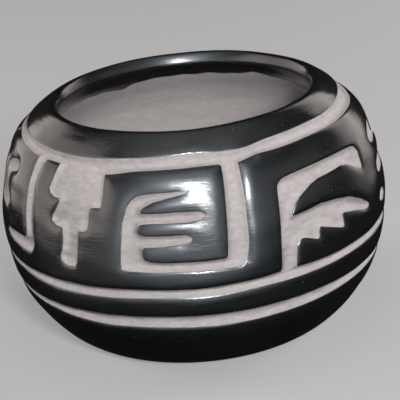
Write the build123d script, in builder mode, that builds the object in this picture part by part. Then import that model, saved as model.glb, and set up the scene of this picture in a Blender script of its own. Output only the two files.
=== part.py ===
from build123d import *
import os
from math import sin, cos, radians, hypot

# Coil-built, carved and stone-polished blackware jar.
# Frame: origin at the centre of the resting face, +Z up, front of the jar towards -Y. Millimetres.
# Places on the wall are given as (azimuth, run): azimuth in degrees from the front towards +X, and run in
# millimetres measured along the outside of the wall, upwards from the foot.

# ---------------------------------------------------------------- driving dimensions
wall_thickness = 6.5  # body wall
floor_thickness = 7.5  # clay over the resting face
slip_thickness = 0.4  # polished slip coat
carve_depth = 2.3  # depth of the carving below the polished surface
crest_radius = 51.09  # radius of the lip's highest circle
crest_height = 91.79  # height of the jar
foot_flat_radius = 47.8  # edge of the flat resting face
slip_start = 0.6  # run where the polish begins above the foot
lap = 5.0  # how far each coil's joint slants down through the wall
joint_runs = [18.0, 30.5, 42.0, 54.0, 66.0, 78.5, 91.0]  # outside edges of the joints between coils

# Outside of the wall from the resting face to the lip: radius, height.
foot_points = [(foot_flat_radius, 0.0), (49.41, 0.11), (51.0, 0.43), (52.55, 0.98), (54.07, 1.73)]
wall_points = [
    (56.27, 3.17), (60.74, 7.15), (64.46, 11.85), (67.79, 16.84), (70.56, 22.16), (72.52, 27.82),
    (73.78, 33.69), (74.60, 39.63), (75.00, 45.61), (74.92, 51.61), (74.15, 57.56), (72.95, 63.43),
    (71.48, 69.25), (69.42, 74.88), (66.37, 80.03), (62.38, 84.50), (57.75, 88.20),
]
lip_points = [(54.30, 90.45), (52.45, 91.42), (crest_radius, crest_height), (49.72, 91.40), (48.85, 90.46), (48.54, 89.24)]
throat_points = [(48.85, 87.90), (49.75, 86.55), (51.20, 85.05), (53.10, 83.15), (54.90, 81.10)]
inside_points = [
    (57.60, 77.70), (60.75, 72.90), (63.10, 67.90), (64.90, 62.70), (66.60, 56.50), (67.80, 51.30),
    (68.35, 45.60), (68.05, 40.10), (67.30, 34.60), (66.15, 29.20), (64.10, 23.90), (61.40, 19.30),
    (58.00, 15.40), (53.80, 12.10), (48.60, 9.85), (42.60, 8.45), (34.00, 7.70), (24.00, 7.50),
]
run_of_start = -3.18  # run at the first foot point

# ---------------------------------------------------------------- carved grooves: run of both edges, and tilt
# A tilt (a, b) lifts the groove by a millimetres towards +X and b millimetres towards +Y.
rim_groove = (93.7, 98.7, (1.70, 0.05))
upper_base_groove = (45.4, 49.9, (1.00, -0.87))
lower_base_groove = (33.8, 38.5, (-0.05, 0.40))

# ---------------------------------------------------------------- carved figures
# Each figure is on both sides of the jar, half a turn apart.
kiva_step = [
    (-46.3, 96.0), (-46.5, 90), (-47.3, 86), (-47.7, 83.5), (-47.1, 82), (-45, 80.8), (-42.3, 81),
    (-42.5, 79.5), (-43.9, 76), (-45, 74), (-45.1, 72), (-43.7, 71), (-40.6, 70.5), (-40.4, 66),
    (-40.8, 62), (-41.5, 60), (-41.4, 58.3), (-40.3, 57.0), (-38.6, 56.6), (-36.6, 56.9), (-35.8, 58.5), (-35.3, 62),
    (-35.1, 70.4), (-33.2, 70.5), (-32.2, 71.2), (-31.7, 72.5), (-31.5, 77), (-31.2, 79.5), (-27.6, 79.9),
    (-27.4, 85), (-27.6, 90), (-28.3, 96.0),
]
finger_frame = [
    (9.7, 96.0), (9.7, 90), (9.1, 80), (8.6, 70), (8.2, 65), (7.9, 61.0), (7.4, 60.2), (1.7, 60.1),
    (-5.1, 60.3), (-10, 60.4), (-13.5, 60.9), (-15.3, 62.1), (-15.5, 64.25), (-15.6, 65.75), (-14.9, 66.35),
    (-10, 66.6), (-5.9, 67), (-3.6, 67.25), (-1.9, 67.9), (-1.4, 68.75), (-1.9, 69.75), (-3.2, 70.25),
    (-7.4, 70.25), (-14.5, 70.2), (-15.8, 70.75), (-16.7, 71.75), (-16.8, 73), (-16.4, 74), (-15.6, 74.6),
    (-13.5, 74.9), (-5.1, 74.9), (-2.1, 74.8), (1.3, 75.4), (3.0, 76.8), (1.7, 78), (-1.3, 78.3),
    (-5.1, 78.5), (-12.8, 78.2), (-15.5, 78.3), (-16, 79), (-14.9, 80.5), (-12, 82.4), (-7.4, 83.8),
    (-2.1, 85), (-1.5, 85.6), (-4.4, 85.7), (-12.4, 85.3), (-15, 84.9), (-16.6, 84.4), (-18.1, 83),
    (-19.3, 81), (-20.8, 75), (-21.4, 66), (-21.7, 60), (-21.4, 58.4), (-20, 57.6), (-15, 57.4),
    (-10, 57.1), (-5, 57.1), (0, 56.9), (5.5, 56.7), (9.9, 56.7), (11.4, 57.0), (12.7, 58.2), (13.2, 60), (14, 65),
    (14.8, 85), (15.1, 96.0),
]
feather_and_step = [
    (22.3, 48.2), (22.3, 50.8), (22.9, 52), (23.2, 60), (24, 70), (24.8, 80), (25.2, 82), (26.1, 83.25),
    (27.6, 84.1), (30, 84.5), (35, 84.9), (40, 85.1), (45, 85.1), (50, 84.9), (55, 84.5), (58.2, 84),
    (60.1, 83.25), (61.2, 81), (60.9, 78), (60.6, 74.4), (57.4, 76.2), (55.1, 78), (52.8, 79.6), (50, 80.4),
    (46, 80.2), (39.1, 80), (36, 79), (33.4, 77.5), (31.1, 76), (29.2, 74), (27.8, 71.5), (27.8, 69.85),
    (31.5, 70.15), (38.3, 70.75), (44.4, 69.75), (50, 68), (55.5, 64.5), (59, 61.25), (58.8, 60),
    (57.6, 59.75), (55.5, 60.5), (52.8, 61.75), (46.4, 63.9), (45.5, 63.5), (45.4, 58.75), (44.4, 59),
    (36.4, 63), (35.9, 62.75), (35.5, 58.7), (34.7, 58.9), (31.5, 60.75), (29.7, 61.25), (28.6, 60.25),
    (27.8, 58.75), (27.3, 53), (27.3, 48.2),
]
two_fingers = [
    (73.4, 80.3), (74.6, 81.5), (76.6, 82.5), (80, 83.4), (84.7, 83.8), (87.9, 84.1), (90.5, 84.2), (92.3, 83.5),
    (93, 82), (93.3, 79), (93.4, 73), (93.1, 69), (92.3, 66.6), (90.2, 65.5), (86, 65.3), (80, 65.5),
    (75.6, 65.8), (73.2, 66.5), (72.2, 68.2), (73.4, 69.8), (75.6, 70.5), (80, 70.9), (85, 71.1), (87, 71.5),
    (87.9, 72.9), (88, 75), (87.1, 76.9), (85.2, 77.6), (82.5, 77.5), (78.8, 77.2), (75.9, 77.5), (74.2, 78.6),
]
seed_mark = [(69.4, 57.75), (71, 59.5), (73.4, 59.7), (76.1, 58.6), (76.9, 57), (75.2, 55.8), (72.6, 55.2), (70.4, 56)]
hooked_comb = [
    (99.7, 83), (101.5, 84.4), (103.5, 85.4), (105.7, 86.3), (107.7, 86.8), (109.7, 86.4), (111.1, 85.2), (110.8, 83.5),
    (109.2, 82.5), (106.2, 81.2), (104.4, 80), (103.7, 78.2), (103.7, 76.2), (104.2, 74.5), (105.9, 72.3), (107.9, 70.6),
    (108.3, 69.4), (106.7, 68.7), (103.9, 68.7), (101.7, 69.3), (100, 71.2), (99.7, 74.2), (99.5, 77), (99.1, 79.2), (99.1, 81.2),
]
corner_groove = [
    (126.5, 96.0), (126.1, 90), (125.6, 85), (125.8, 75), (126.25, 65), (126.5, 61.5), (126.1, 59), (125.2, 57.5),
    (123.7, 56.4), (119.9, 56.2), (115.3, 56.5), (111.5, 56.8), (109.2, 57.6), (107.8, 58.9), (108.6, 60),
    (110, 60.3), (112.6, 60.5), (117.6, 61), (121.2, 61.1), (122.4, 62.3), (122.6, 65), (122, 70), (121.8, 75),
    (121.7, 85), (121.5, 96.0),
]
motifs = [
    ("kiva_step", -37.3, kiva_step),
    ("finger_frame", -3.5, finger_frame),
    ("feather_and_step", 41.8, feather_and_step),
    ("two_fingers", 82.0, two_fingers),
    ("seed_mark", 72.0, seed_mark),
    ("hooked_comb", 105.1, hooked_comb),
    ("corner_groove", 117.0, corner_groove),
]

os.makedirs("parts", exist_ok=True)

# ---------------------------------------------------------------- the wall's section, as one line of points
outline = Spline(*foot_points, *wall_points, *lip_points, *throat_points)
runs_total = outline.length


def at_run(run):
    """Point on the outside of the wall, and the direction out of the clay, at a run."""
    d = run - run_of_start
    p = outline.position_at(d, position_mode=PositionMode.LENGTH)
    t = outline.tangent_at(d, position_mode=PositionMode.LENGTH)
    return (p.X, p.Y), (t.Y, -t.X)


def below(run, depth):
    """Point at a depth into the clay from the outside of the wall."""
    p, n = at_run(run)
    return (p[0] - depth * n[0], p[1] - depth * n[1])


def run_list(first, last, step=3.0):
    count = max(2, round((last - first) / step))
    return [first + (last - first) * i / count for i in range(count + 1)]


def joint_line(run, reach=2.5):
    """The slanted joint between two coils: a point outside the wall and a point inside it."""
    a = below(run, 0.0)
    b = below(run - lap, wall_thickness)
    k = reach / hypot(b[0] - a[0], b[1] - a[1])
    return ((a[0] - k * (b[0] - a[0]), a[1] - k * (b[1] - a[1])), (b[0] + k * (b[0] - a[0]), b[1] + k * (b[1] - a[1])))


def between(low, high):
    """The part of the section plane from one joint line to the next."""
    return [low[0], low[1], high[1], high[0]]


def across(first, last, out=3.0, into=4.0):
    """The part of the section plane between two runs, cut square to the wall."""
    mid = run_list(first, last, 4.0)
    return [below(r, -out) for r in mid] + [below(r, into) for r in reversed(mid)]


skin_end = runs_total + run_of_start - 1.8  # where the slip stops inside the mouth
stations = [slip_start + 3.0 * i for i in range(35)]  # the wall is laid out in short straight runs, 3 mm long
layer_stations = [r for r in stations if r > 8.0]  # the carving stays inside these
lip_skin_stations = run_list(stations[-1], skin_end, 1.2)
throat_stations = run_list(skin_end, runs_total + run_of_start, 2.4)

# full clay section, from the resting face round the wall and lip to the inside floor
with BuildSketch(Plane.XZ) as clay_section:
    with BuildLine():
        outer = Polyline(*[below(r, slip_thickness) for r in stations])
        lip = Spline(*[below(r, slip_thickness) for r in lip_skin_stations])
        inner = Spline(*[below(r, slip_thickness) for r in throat_stations], *inside_points)
        foot = Spline(*[below(r, 0.0) for r in run_list(run_of_start, slip_start, 1.2)])
        Line(foot @ 1, outer @ 0)
        Line(inner @ 1, (0, floor_thickness))
        Line((0, floor_thickness), (0, 0))
        Line((0, 0), foot @ 0)
    make_face()

# outer layer of the clay, as deep as the carving goes
with BuildSketch(Plane.XZ) as carve_layer:
    with BuildLine():
        layer_out = Polyline(*[below(r, slip_thickness) for r in layer_stations])
        layer_in = Polyline(*[below(r, carve_depth) for r in layer_stations])
        Line(layer_out @ 0, layer_in @ 0)
        Line(layer_out @ 1, layer_in @ 1)
    make_face()

# slip coat
with BuildSketch(Plane.XZ) as slip_section:
    with BuildLine():
        skin_out = Polyline(*[below(r, 0.0) for r in stations])
        skin_in = Polyline(*[below(r, slip_thickness) for r in stations])
        lip_out = Spline(*[below(r, 0.0) for r in lip_skin_stations])
        lip_in = Spline(*[below(r, slip_thickness) for r in lip_skin_stations])
        Line(skin_out @ 0, skin_in @ 0)
        Line(lip_out @ 1, lip_in @ 1)
    make_face()

# ---------------------------------------------------------------- what the carving tool takes away


def figure_points(points, middle):
    """A figure's outline on the plane that faces the azimuth in its middle."""
    flat = []
    for azimuth, run in points:
        (r, z), _ = at_run(run)
        flat.append((r * sin(radians(azimuth - middle)), z))
    return flat


cuts = []
for name, middle, points in motifs:
    for turn in (0.0, 180.0):
        a = radians(middle + turn)
        facing = Plane(origin=(0, 0, 0), x_dir=(cos(a), sin(a), 0), z_dir=(sin(a), -cos(a), 0))
        with BuildPart() as figure:
            with BuildSketch(facing.offset(38)):
                Polygon(*figure_points(points, middle), align=None)
            extrude(amount=50)
        cuts.append((middle + turn, min(p[1] for p in points), max(p[1] for p in points), figure.part))

for first, last, (tilt_x, tilt_y) in (rim_groove, upper_base_groove, lower_base_groove):
    (r, z), _ = at_run((first + last) / 2)
    up = Vector(-tilt_x / r, -tilt_y / r, 1).normalized()
    side = (Vector(1, 0, 0) - up * up.X).normalized()
    lie = Plane(origin=(0, 0, z), x_dir=side, z_dir=side.cross(up))
    with BuildPart() as groove:
        with BuildSketch(lie):
            Polygon(*[(p[0], p[1] - z) for p in across(first, last)], align=None)
        revolve(axis=Axis((0, 0, z), up))
    cuts.append((0.0, first - 2.0, last + 2.0, groove.part))


def cuts_between(first, last):
    return [c[3] for c in cuts if c[2] > first - 3 and c[1] < last + 3]


# ---------------------------------------------------------------- base
joints = [joint_line(r) for r in joint_runs]

with BuildPart() as base_pancake:
    with BuildSketch(Plane.XZ):
        add(clay_section.sketch)
        Polygon((-1, -1), (90, -1), joints[0][0], joints[0][1], (50, 20), (-1, 20), align=None, mode=Mode.INTERSECT)
    revolve(axis=Axis.Z)
base_pancake.part.label = "base_pancake"
export_step(base_pancake.part, "parts/base_pancake.step")

# ---------------------------------------------------------------- wall coils
for i in range(6):
    low, high = joint_runs[i], joint_runs[i + 1]
    with BuildPart() as wall_coil:
        with BuildSketch(Plane.XZ):
            add(carve_layer.sketch)
            Polygon(*between(joints[i], joints[i + 1]), align=None, mode=Mode.INTERSECT)
        revolve(axis=Axis.Z)
        for cutter in cuts_between(low - 1, high + 1):
            add(cutter, mode=Mode.SUBTRACT)
        with BuildSketch(Plane.XZ):
            add(clay_section.sketch)
            add(carve_layer.sketch, mode=Mode.SUBTRACT)
            Polygon(*between(joints[i], joints[i + 1]), align=None, mode=Mode.INTERSECT)
        revolve(axis=Axis.Z)
    wall_coil.part.label = f"wall_coil_{i + 1}"
    export_step(wall_coil.part, f"parts/wall_coil_{i + 1}.step")

# ---------------------------------------------------------------- rim coil, with the collar and the lip
with BuildPart() as rim_coil:
    with BuildSketch(Plane.XZ):
        add(carve_layer.sketch)
        Polygon(joints[6][0], joints[6][1], (44, 84), (44, 98), (70, 98), align=None, mode=Mode.INTERSECT)
    revolve(axis=Axis.Z)
    for cutter in cuts_between(91, 103):
        add(cutter, mode=Mode.SUBTRACT)
    with BuildSketch(Plane.XZ):
        add(clay_section.sketch)
        add(carve_layer.sketch, mode=Mode.SUBTRACT)
        Polygon(joints[6][0], joints[6][1], (44, 76), (44, 98), (70, 98), align=None, mode=Mode.INTERSECT)
    revolve(axis=Axis.Z)
rim_coil.part.label = "rim_coil"
export_step(rim_coil.part, "parts/rim_coil.step")

# ---------------------------------------------------------------- slip coats
bands = [
    ("polished_underbody", slip_start - 1.5, (lower_base_groove[0] + lower_base_groove[1]) / 2),
    ("polished_middle_band", (lower_base_groove[0] + lower_base_groove[1]) / 2, (upper_base_groove[0] + upper_base_groove[1]) / 2),
    ("polished_frieze", (upper_base_groove[0] + upper_base_groove[1]) / 2, (rim_groove[0] + rim_groove[1]) / 2),
    ("polished_rim_band", (rim_groove[0] + rim_groove[1]) / 2, skin_end + 0.0),
]
for name, low, high in bands:
    with BuildPart() as coat:
        with BuildSketch(Plane.XZ):
            add(slip_section.sketch)
            if name == "polished_rim_band":
                a, b = below(low, -3), below(low, 2)
                Polygon(a, b, (44, 76), (44, 96), (66, 96), align=None, mode=Mode.INTERSECT)
            else:
                Polygon(*across(low, high, 2.0, 2.0), align=None, mode=Mode.INTERSECT)
        revolve(axis=Axis.Z)
        for cutter in cuts_between(low, high):
            add(cutter, mode=Mode.SUBTRACT)
    coat.part.label = name
    export_step(coat.part, f"parts/{name}.step")
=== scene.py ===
import math

import bpy
import numpy as np
from mathutils import Matrix, Vector


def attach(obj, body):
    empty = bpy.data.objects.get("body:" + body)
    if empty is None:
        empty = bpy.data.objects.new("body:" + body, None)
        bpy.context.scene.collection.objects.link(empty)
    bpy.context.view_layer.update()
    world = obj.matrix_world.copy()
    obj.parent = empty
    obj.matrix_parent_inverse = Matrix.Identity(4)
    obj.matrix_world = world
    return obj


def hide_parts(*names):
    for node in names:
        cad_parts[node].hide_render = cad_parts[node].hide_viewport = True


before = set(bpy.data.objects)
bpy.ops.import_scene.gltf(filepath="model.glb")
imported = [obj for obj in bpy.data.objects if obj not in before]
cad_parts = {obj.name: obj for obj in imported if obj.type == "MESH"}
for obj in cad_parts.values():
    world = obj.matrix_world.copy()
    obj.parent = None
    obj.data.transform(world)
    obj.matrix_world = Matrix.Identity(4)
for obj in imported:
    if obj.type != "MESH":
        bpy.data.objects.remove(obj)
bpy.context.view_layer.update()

# Low coil-built jar with a carved, stone-polished black frieze. Numbers are millimetres and degrees until they
# go into a mesh. Places on the wall are (azimuth from the front towards +X, run along the wall from the foot).

MM = 0.001
PHI0 = -161.4  # where the sheet round the jar is joined, between two carved figures

# ================================================================ camera
cam_data = bpy.data.cameras.new("camera")
cam_data.sensor_width = 36.0
cam_data.lens = 132.27
cam = bpy.data.objects.new("camera", cam_data)
bpy.context.scene.collection.objects.link(cam)
cam.matrix_world = Matrix((
    (0.99514193, 0.09845066, 0.0, 0.002218),
    (-0.03694386, 0.37342949, -0.92692263, -0.539385),
    (-0.09125615, 0.92241958, 0.3752525, 0.263205),
    (0.0, 0.0, 0.0, 1.0),
))
bpy.context.scene.camera = cam

# ================================================================ the wall's section
foot_points = [(47.8, 0.0), (49.41, 0.11), (51.0, 0.43), (52.55, 0.98), (54.07, 1.73)]
wall_points = [
    (56.27, 3.17), (60.74, 7.15), (64.46, 11.85), (67.79, 16.84), (70.56, 22.16), (72.52, 27.82),
    (73.78, 33.69), (74.60, 39.63), (75.00, 45.61), (74.92, 51.61), (74.15, 57.56), (72.95, 63.43),
    (71.48, 69.25), (69.42, 74.88), (66.37, 80.03), (62.38, 84.50), (57.75, 88.20),
]
lip_points = [(54.30, 90.45), (52.45, 91.42), (51.09, 91.79), (50.02, 91.56), (49.30, 91.00), (48.84, 90.25), (48.47, 89.40), (48.18, 88.60), (48.05, 87.80)]
throat_points = [(48.02, 86.60), (48.20, 85.40), (48.70, 84.15), (49.60, 82.85), (50.95, 81.35), (52.75, 79.55)]
inside_points = [
    (55.10, 77.15), (57.95, 73.85), (60.85, 69.90), (63.05, 66.00), (64.85, 61.70), (66.55, 56.20), (67.75, 51.10),
    (68.35, 45.60), (68.05, 40.10), (67.30, 34.60), (66.15, 29.20), (64.10, 23.90), (61.40, 19.30),
    (58.00, 15.40), (53.80, 12.10), (48.60, 9.85), (42.60, 8.45), (34.00, 7.70), (24.00, 7.50), (12.00, 7.50), (0.0, 7.50),
]
RUN0 = -3.18
LAP = 5.0
WALL = 6.5
SLIP = 0.28


def spline(x, y):
    """Natural cubic spline through points."""
    n = len(x)
    h = np.diff(x)
    a = np.eye(n)
    b = np.zeros(n)
    for i in range(1, n - 1):
        a[i, i - 1 : i + 2] = h[i - 1], 2 * (h[i - 1] + h[i]), h[i]
        b[i] = 6 * ((y[i + 1] - y[i]) / h[i] - (y[i] - y[i - 1]) / h[i - 1])
    m = np.linalg.solve(a, b)

    def f(t):
        i = np.clip(np.searchsorted(x, t) - 1, 0, n - 2)
        d, e, g = t - x[i], x[i + 1] - t, x[i + 1] - x[i]
        return (
            (m[i] * e**3 + m[i + 1] * d**3) / (6 * g)
            + (y[i] / g - m[i] * g / 6) * e
            + (y[i + 1] / g - m[i + 1] * g / 6) * d
        )

    return f


pts = np.array(foot_points + wall_points + lip_points + throat_points + inside_points)
chord = np.r_[0, np.cumsum(np.hypot(*np.diff(pts, axis=0).T))]
fine = np.linspace(0, chord[-1], 12000)
PR, PZ = spline(chord, pts[:, 0])(fine), spline(chord, pts[:, 1])(fine)
PS = RUN0 + np.r_[0, np.cumsum(np.hypot(np.diff(PR), np.diff(PZ)))]
TR, TZ = np.gradient(PR, PS), np.gradient(PZ, PS)
tl = np.hypot(TR, TZ)
NR, NZ = TZ / tl, -TR / tl  # out of the clay
CREST = PS[PZ.argmax()]
THROAT_END = CREST + 23.4
RUN_END = PS[-1]


def smooth(a, b, x):
    t = np.clip((x - a) / (b - a), 0, 1)
    return t * t * (3 - 2 * t)


def radius(s):
    return np.where(s < RUN0, 47.8 + (s - RUN0), np.interp(s, PS, PR))


def inside_run(run):
    """Where on the inside of the jar the slanted joint that starts at a run comes out."""
    r = np.interp(run - LAP, PS, PR) - WALL * np.interp(run - LAP, PS, NR)
    z = np.interp(run - LAP, PS, PZ) - WALL * np.interp(run - LAP, PS, NZ)
    k = PS > THROAT_END + 1.5
    return PS[k][np.hypot(PR[k] - r, PZ[k] - z).argmin()]


# ================================================================ hand-made unevenness, periodic round the jar
rng = np.random.default_rng(11)


def waves(count, round_max, run_len, seed):
    """A sum of smooth waves round and along the wall, about 1 in size."""
    r = np.random.default_rng(seed)
    k = r.integers(0, round_max + 1, count)
    w = r.normal(0, 2 * math.pi / run_len, count)
    p = r.uniform(0, 2 * math.pi, count)
    a = r.uniform(0.5, 1.0, count)
    a /= math.sqrt((a**2).sum() / 2)

    def f(phi, s):
        out = 0.0
        for kk, ww, pp, aa in zip(k, w, p, a):
            out = out + aa * np.cos(kk * np.radians(phi) + ww * s + pp)
        return out

    return f


body_waves = waves(14, 9, 34, 3)
hand_waves = waves(26, 30, 16, 5)
floor_waves = waves(40, 60, 5.5, 8)
edge_waves = waves(10, 14, 1e9, 21)


def around(points):
    """A smooth closed curve run(azimuth) through points."""
    p = np.array(points, float)
    a = np.r_[p[:, 0] - 360, p[:, 0], p[:, 0] + 360]
    f = spline(a, np.tile(p[:, 1], 3))
    return lambda phi: f((np.asarray(phi, float) + 180) % 360 - 180)


rim_low = around([
    (-170, 93.6), (-140, 93.2), (-110, 93.6), (-88, 93.9), (-75, 93.6), (-58.5, 93.1), (-50, 93.3), (-38, 92.8), (-27, 92.0), (-20, 93.2),
    (-10, 93.9), (0, 94.2), (10, 93.9), (15.5, 93.7), (20, 94.7), (27, 95.0), (40, 95.2), (50, 95.0), (60, 94.6),
    (70, 94.6), (80, 94.3), (100, 94.1), (125, 93.8), (150, 93.4),
])
rim_high = around([
    (-170, 98.6), (-145, 98.4), (-120, 98.0), (-95, 97.4), (-75, 97.1), (-55, 97.0), (-35, 97.0), (-25, 97.6), (-15, 98.1), (-5, 98.6),
    (0, 98.8), (6, 98.4), (13, 98.0), (20, 98.2), (26, 99.2), (32, 99.5), (40, 99.7), (60, 99.6), (72, 100.0),
    (85, 100.1), (105, 99.7), (130, 99.2), (155, 98.7),
])
up_high = around([
    (-170, 49.55), (-140, 49.05), (-110, 48.65), (-85, 48.25), (-60, 48.25), (-50, 48.95), (-40, 49.45), (-30, 49.75), (-20, 50.05), (-8, 49.85),
    (2, 49.75), (10, 50.05), (20, 50.55), (25, 50.85), (31, 50.45), (40, 49.95), (50, 49.75), (60, 49.35), (70, 49.05),
    (95, 49.15), (120, 49.65), (150, 49.95),
])
up_low = around([
    (-170, 46.5), (-140, 46.3), (-110, 46.4), (-85, 46.5), (-60, 46.4), (-50, 45.9), (-40, 45.9), (-30, 46.2), (-20, 46.6), (-10, 46.8),
    (0, 46.6), (12, 46.9), (30, 46.9), (50, 46.9), (65, 46.7), (95, 46.4), (120, 46.3), (150, 46.7),
])
down_high = around([
    (-170, 37.8), (-140, 37.4), (-110, 37.0), (-80, 36.7), (-50, 37.1), (-40, 37.7), (-30, 38.0), (-10, 38.4), (0, 38.2), (20, 38.0),
    (40, 37.6), (52, 37.0), (80, 37.0), (110, 37.6), (150, 38.1),
])
down_low = around([
    (-170, 33.5), (-140, 33.8), (-110, 34.0), (-80, 34.2), (-50, 34.3), (-40, 33.6), (-30, 33.2), (-10, 33.6), (0, 33.2), (10, 32.8),
    (30, 33.0), (50, 33.6), (80, 33.8), (110, 33.4), (150, 33.2),
])
slip_inside = around([
    (-174.25, 11.15), (-169.25, 11.05), (-164.25, 11.15), (-159.5, 11.95), (-156.75, 12.25), (-154.5, 13.05), (-152.5, 14.5),
    (-149.75, 14.5), (-144, 13.4), (-138, 12.8), (-131.5, 12.6), (-124.25, 12.4), (-115, 12.6), (-104, 13.6), (-89, 14.8), (-70, 14.4),
    (-48, 13.6), (-28, 14.75), (-8, 13.45), (12, 14.25), (30, 15.5), (52, 14.45), (75, 15.75), (92, 15.8), (105, 15.2), (117.5, 14.2),
    (123.25, 13.2), (129.75, 12.45), (136, 12.1), (140.75, 10.85), (143.75, 10.5), (146.25, 10.7), (151.75, 11.5), (157.25, 11.75),
    (164.25, 11.5), (171.5, 11.4), (176.25, 11.55), (180, 11.2),
])
throat_edge = lambda phi: CREST + np.clip(slip_inside(phi) + 0.22 * edge_waves(phi * 3, 0.0), 10.0, 22.3)  # the slip stops unevenly inside the mouth
foot_edge = lambda phi: 0.9 + 0.3 * edge_waves(phi + 77.0, 0.0)

# ================================================================ carved figures
kiva_step = [
    (-46.3, 96.0), (-46.5, 90), (-47.3, 86), (-47.7, 83.5), (-47.1, 82), (-45, 80.8), (-42.3, 81),
    (-42.5, 79.5), (-43.9, 76), (-45, 74), (-45.1, 72), (-43.7, 71), (-40.6, 70.5), (-40.4, 66),
    (-40.8, 62), (-41.5, 60), (-41.4, 58.3), (-40.3, 57.0), (-38.6, 56.6), (-36.6, 56.9), (-35.8, 58.5), (-35.3, 62),
    (-35.1, 70.4), (-33.2, 70.5), (-32.2, 71.2), (-31.7, 72.5), (-31.5, 77), (-31.2, 79.5), (-27.6, 79.9),
    (-27.4, 85), (-27.6, 90), (-28.3, 96.0),
]
finger_frame = [
    (9.7, 96.0), (9.7, 90), (9.1, 80), (8.6, 70), (8.2, 65), (7.9, 61.0), (7.4, 60.2), (1.7, 60.1),
    (-5.1, 60.3), (-10, 60.4), (-13.5, 60.9), (-15.3, 62.1), (-15.5, 64.25), (-15.6, 65.75), (-14.9, 66.35),
    (-10, 66.6), (-5.9, 67), (-3.6, 67.25), (-1.9, 67.9), (-1.4, 68.75), (-1.9, 69.75), (-3.2, 70.25),
    (-7.4, 70.25), (-14.5, 70.2), (-15.8, 70.75), (-16.7, 71.75), (-16.8, 73), (-16.4, 74), (-15.6, 74.6),
    (-13.5, 74.9), (-5.1, 74.9), (-2.1, 74.8), (1.3, 75.4), (3.0, 76.8), (1.7, 78), (-1.3, 78.3),
    (-5.1, 78.5), (-12.8, 78.2), (-15.5, 78.3), (-16, 79), (-14.9, 80.5), (-12, 82.4), (-7.4, 83.8),
    (-2.1, 85), (-1.5, 85.6), (-4.4, 85.7), (-12.4, 85.3), (-15, 84.9), (-16.6, 84.4), (-18.1, 83),
    (-19.3, 81), (-20.8, 75), (-21.4, 66), (-21.7, 60), (-21.4, 58.4), (-20, 57.6), (-15, 57.4),
    (-10, 57.1), (-5, 57.1), (0, 56.9), (5.5, 56.7), (9.9, 56.7), (11.4, 57.0), (12.7, 58.2), (13.2, 60), (14, 65),
    (14.8, 85), (15.1, 96.0),
]
feather_and_step = [
    (22.3, 48.2), (22.3, 50.8), (22.9, 52), (23.2, 60), (24, 70), (24.8, 80), (25.2, 82), (26.1, 83.25),
    (27.6, 84.1), (30, 84.5), (35, 84.9), (40, 85.1), (45, 85.1), (50, 84.9), (55, 84.5), (58.2, 84),
    (60.1, 83.25), (61.2, 81), (60.9, 78), (60.6, 74.4), (57.4, 76.2), (55.1, 78), (52.8, 79.6), (50, 80.4),
    (46, 80.2), (39.1, 80), (36, 79), (33.4, 77.5), (31.1, 76), (29.2, 74), (27.8, 71.5), (27.8, 69.85),
    (31.5, 70.15), (38.3, 70.75), (44.4, 69.75), (50, 68), (55.5, 64.5), (59, 61.25), (58.8, 60),
    (57.6, 59.75), (55.5, 60.5), (52.8, 61.75), (46.4, 63.9), (45.5, 63.5), (45.4, 58.75), (44.4, 59),
    (36.4, 63), (35.9, 62.75), (35.5, 58.7), (34.7, 58.9), (31.5, 60.75), (29.7, 61.25), (28.6, 60.25),
    (27.8, 58.75), (27.3, 53), (27.3, 48.2),
]
two_fingers = [
    (73.4, 80.3), (74.6, 81.5), (76.6, 82.5), (80, 83.4), (84.7, 83.8), (87.9, 84.1), (90.5, 84.2), (92.3, 83.5),
    (93, 82), (93.3, 79), (93.4, 73), (93.1, 69), (92.3, 66.6), (90.2, 65.5), (86, 65.3), (80, 65.5),
    (75.6, 65.8), (73.2, 66.5), (72.2, 68.2), (73.4, 69.8), (75.6, 70.5), (80, 70.9), (85, 71.1), (87, 71.5),
    (87.9, 72.9), (88, 75), (87.1, 76.9), (85.2, 77.6), (82.5, 77.5), (78.8, 77.2), (75.9, 77.5), (74.2, 78.6),
]
seed_mark = [(69.4, 57.75), (71, 59.5), (73.4, 59.7), (76.1, 58.6), (76.9, 57), (75.2, 55.8), (72.6, 55.2), (70.4, 56)]
hooked_comb = [
    (99.7, 83), (101.5, 84.4), (103.5, 85.4), (105.7, 86.3), (107.7, 86.8), (109.7, 86.4), (111.1, 85.2), (110.8, 83.5),
    (109.2, 82.5), (106.2, 81.2), (104.4, 80), (103.7, 78.2), (103.7, 76.2), (104.2, 74.5), (105.9, 72.3), (107.9, 70.6),
    (108.3, 69.4), (106.7, 68.7), (103.9, 68.7), (101.7, 69.3), (100, 71.2), (99.7, 74.2), (99.5, 77), (99.1, 79.2), (99.1, 81.2),
]
corner_groove = [
    (126.5, 96.0), (126.1, 90), (125.6, 85), (125.8, 75), (126.25, 65), (126.5, 61.5), (126.1, 59), (125.2, 57.5),
    (123.7, 56.4), (119.9, 56.2), (115.3, 56.5), (111.5, 56.8), (109.2, 57.6), (107.8, 58.9), (108.6, 60),
    (110, 60.3), (112.6, 60.5), (117.6, 61), (121.2, 61.1), (122.4, 62.3), (122.6, 65), (122, 70), (121.8, 75),
    (121.7, 85), (121.5, 96.0),
]
seen = [kiva_step, finger_frame, feather_and_step, two_fingers, seed_mark]
turned = [hooked_comb, corner_groove]  # these show in front as the copies half a turn on
figures = []
for figure in seen + turned:
    figures.append(np.array(figure, float))
    figures.append(np.array(figure, float) + (180.0 if figure in seen else -180.0, 0.0))


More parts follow.
